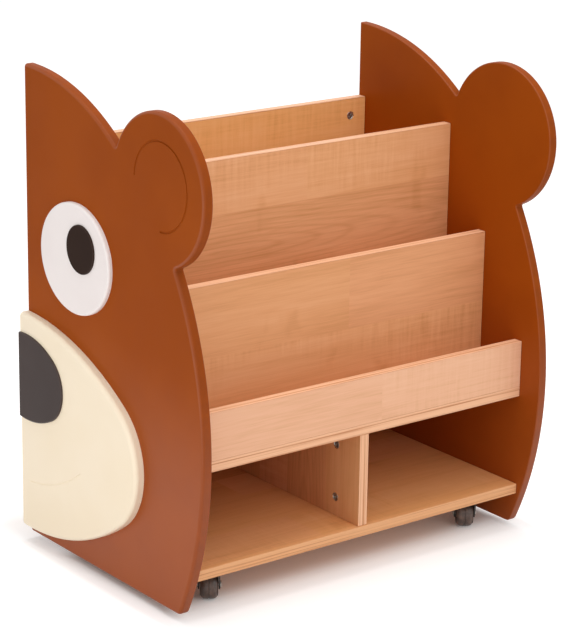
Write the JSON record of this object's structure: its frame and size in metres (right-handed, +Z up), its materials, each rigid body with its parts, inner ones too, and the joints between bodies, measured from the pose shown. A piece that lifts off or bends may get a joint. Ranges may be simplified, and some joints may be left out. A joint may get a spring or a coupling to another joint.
{
  "type": "picture book browser",
  "caption": "Mobile picture book browser with bear-head side panels, tiered book slots behind a low front lip, open compartments below and swivel castors.",
  "frame": {"origin": "on the floor under the middle of the overall box", "axes": "+Z up, +X to the right of someone who faces the front, +Y towards the flat back; the book slots face -Y"},
  "size_m": [0.7782, 0.513, 0.8445],
  "materials": {
    "brown_lacquer": "satin brown lacquer on board",
    "cream_lacquer": "satin cream lacquer on board",
    "white_lacquer": "satin white lacquer on board",
    "dark_lacquer": "satin dark brown lacquer on board",
    "beech_board": "wood decor laminate with matching edge band",
    "castor_nylon": "moulded grey brown nylon",
    "black_steel": "black coated pressed steel",
    "zinc": "bright zinc plate"
  },
  "bodies": {
    "carcass": {"left_side_panel": "brown_lacquer", "left_muzzle": "cream_lacquer", "left_nose": "dark_lacquer", "left_eye": "white_lacquer", "left_pupil": "dark_lacquer", "right_side_panel": "brown_lacquer", "right_muzzle": "cream_lacquer", "right_nose": "dark_lacquer", "right_eye": "white_lacquer", "right_pupil": "dark_lacquer", "base_shelf": "beech_board", "partition": "beech_board", "browser_floor": "beech_board", "front_lip": "beech_board", "front_divider": "beech_board", "upper_floor": "beech_board", "rear_divider": "beech_board", "back_board": "beech_board", "partition_front_lower_cam": "zinc", "partition_front_upper_cam": "zinc", "partition_rear_lower_cam": "zinc", "partition_rear_upper_cam": "zinc", "back_board_left_upper_cam": "zinc", "back_board_left_lower_cam": "zinc", "back_board_right_upper_cam": "zinc", "back_board_right_lower_cam": "zinc", "front_left_castor_plate": "zinc", "front_left_castor_screw_1": "zinc", "front_left_castor_screw_2": "zinc", "front_left_castor_screw_3": "zinc", "front_left_castor_screw_4": "zinc", "front_right_castor_plate": "zinc", "front_right_castor_screw_1": "zinc", "front_right_castor_screw_2": "zinc", "front_right_castor_screw_3": "zinc", "front_right_castor_screw_4": "zinc", "rear_left_castor_plate": "zinc", "rear_left_castor_screw_1": "zinc", "rear_left_castor_screw_2": "zinc", "rear_left_castor_screw_3": "zinc", "rear_left_castor_screw_4": "zinc", "rear_right_castor_plate": "zinc", "rear_right_castor_screw_1": "zinc", "rear_right_castor_screw_2": "zinc", "rear_right_castor_screw_3": "zinc", "rear_right_castor_screw_4": "zinc"},
    "front_left_fork": {"front_left_castor_fork": "black_steel", "front_left_castor_axle": "zinc"},
    "front_left_wheel": {"front_left_castor_wheel": "castor_nylon"},
    "front_right_fork": {"front_right_castor_fork": "black_steel", "front_right_castor_axle": "zinc"},
    "front_right_wheel": {"front_right_castor_wheel": "castor_nylon"},
    "rear_left_fork": {"rear_left_castor_fork": "black_steel", "rear_left_castor_axle": "zinc"},
    "rear_left_wheel": {"rear_left_castor_wheel": "castor_nylon"},
    "rear_right_fork": {"rear_right_castor_fork": "black_steel", "rear_right_castor_axle": "zinc"},
    "rear_right_wheel": {"rear_right_castor_wheel": "castor_nylon"}
  },
  "joints": [
    {"name": "front_left_swivel", "type": "hinge", "parent": "carcass", "child": "front_left_fork", "pos_m": [-0.281, -0.154, 0.058], "axis": [0, 0, 1], "continuous": true},
    {"name": "front_left_roll", "type": "hinge", "parent": "front_left_fork", "child": "front_left_wheel", "pos_m": [-0.26896, -0.13803, 0.02469], "axis": [0.7986, -0.6018, 0], "continuous": true},
    {"name": "front_right_swivel", "type": "hinge", "parent": "carcass", "child": "front_right_fork", "pos_m": [0.281, -0.154, 0.058], "axis": [0, 0, 1], "continuous": true},
    {"name": "front_right_roll", "type": "hinge", "parent": "front_right_fork", "child": "front_right_wheel", "pos_m": [0.29304, -0.13803, 0.02469], "axis": [0.7986, -0.6018, 0], "continuous": true},
    {"name": "rear_left_swivel", "type": "hinge", "parent": "carcass", "child": "rear_left_fork", "pos_m": [-0.281, 0.1822, 0.058], "axis": [0, 0, 1], "continuous": true},
    {"name": "rear_left_roll", "type": "hinge", "parent": "rear_left_fork", "child": "rear_left_wheel", "pos_m": [-0.26896, 0.19817, 0.02469], "axis": [0.7986, -0.6018, 0], "continuous": true},
    {"name": "rear_right_swivel", "type": "hinge", "parent": "carcass", "child": "rear_right_fork", "pos_m": [0.281, 0.1822, 0.058], "axis": [0, 0, 1], "continuous": true},
    {"name": "rear_right_roll", "type": "hinge", "parent": "rear_right_fork", "child": "rear_right_wheel", "pos_m": [0.29304, 0.19817, 0.02469], "axis": [0.7986, -0.6018, 0], "continuous": true}
  ]
}
